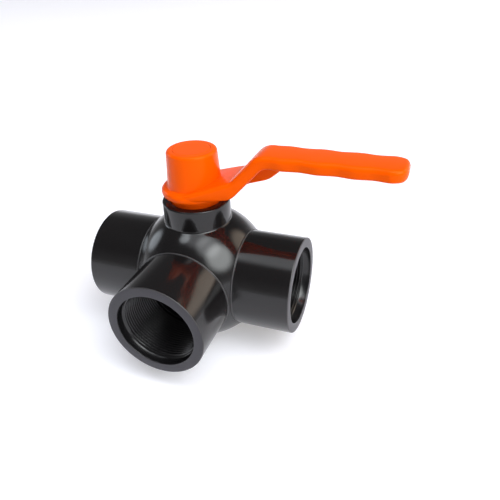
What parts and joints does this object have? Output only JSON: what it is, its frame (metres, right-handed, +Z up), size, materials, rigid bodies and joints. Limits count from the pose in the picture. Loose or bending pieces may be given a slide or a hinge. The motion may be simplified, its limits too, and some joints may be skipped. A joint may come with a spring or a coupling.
{
  "type": "three way ball valve",
  "caption": "Three way ball valve with a globe body, female threaded pipe ports in a tee and a cranked lever handle that turns a T-port ball.",
  "frame": {"origin": "centre of the ball, where the three port axes and the stem axis cross", "axes": "+Z up along the stem, +X out of the right port, which the handle points over at rest, -Y out of the branch port"},
  "size_m": [0.1881, 0.11, 0.1297],
  "materials": {
    "black_plastic": "glossy moulded polypropylene",
    "orange_plastic": "semi-gloss moulded nylon",
    "ball_plastic": "polished moulded polypropylene",
    "seat_plastic": "turned PTFE",
    "rubber": "moulded",
    "steel": "machined stainless steel"
  },
  "bodies": {
    "housing": {"valve_body": "black_plastic", "right_connector": "black_plastic", "left_connector": "black_plastic", "branch_connector": "black_plastic", "right_connector_ring": "rubber", "left_connector_ring": "rubber", "branch_connector_ring": "rubber", "right_seat": "seat_plastic", "left_seat": "seat_plastic", "branch_seat": "seat_plastic", "back_seat": "seat_plastic", "right_seat_ring": "rubber", "left_seat_ring": "rubber", "branch_seat_ring": "rubber", "back_seat_ring": "rubber", "thrust_washer": "seat_plastic", "stem_gland": "black_plastic"},
    "lever": {"handle": "orange_plastic", "handle_cap": "orange_plastic", "handle_screw": "steel", "handle_washer": "steel", "stem": "steel", "lower_stem_ring": "rubber", "upper_stem_ring": "rubber", "ball": "ball_plastic"}
  },
  "joints": [
    {"name": "lever_turn", "type": "hinge", "parent": "housing", "child": "lever", "pos_m": [0, 0, 0], "axis": [0, 0, 1], "continuous": true}
  ]
}
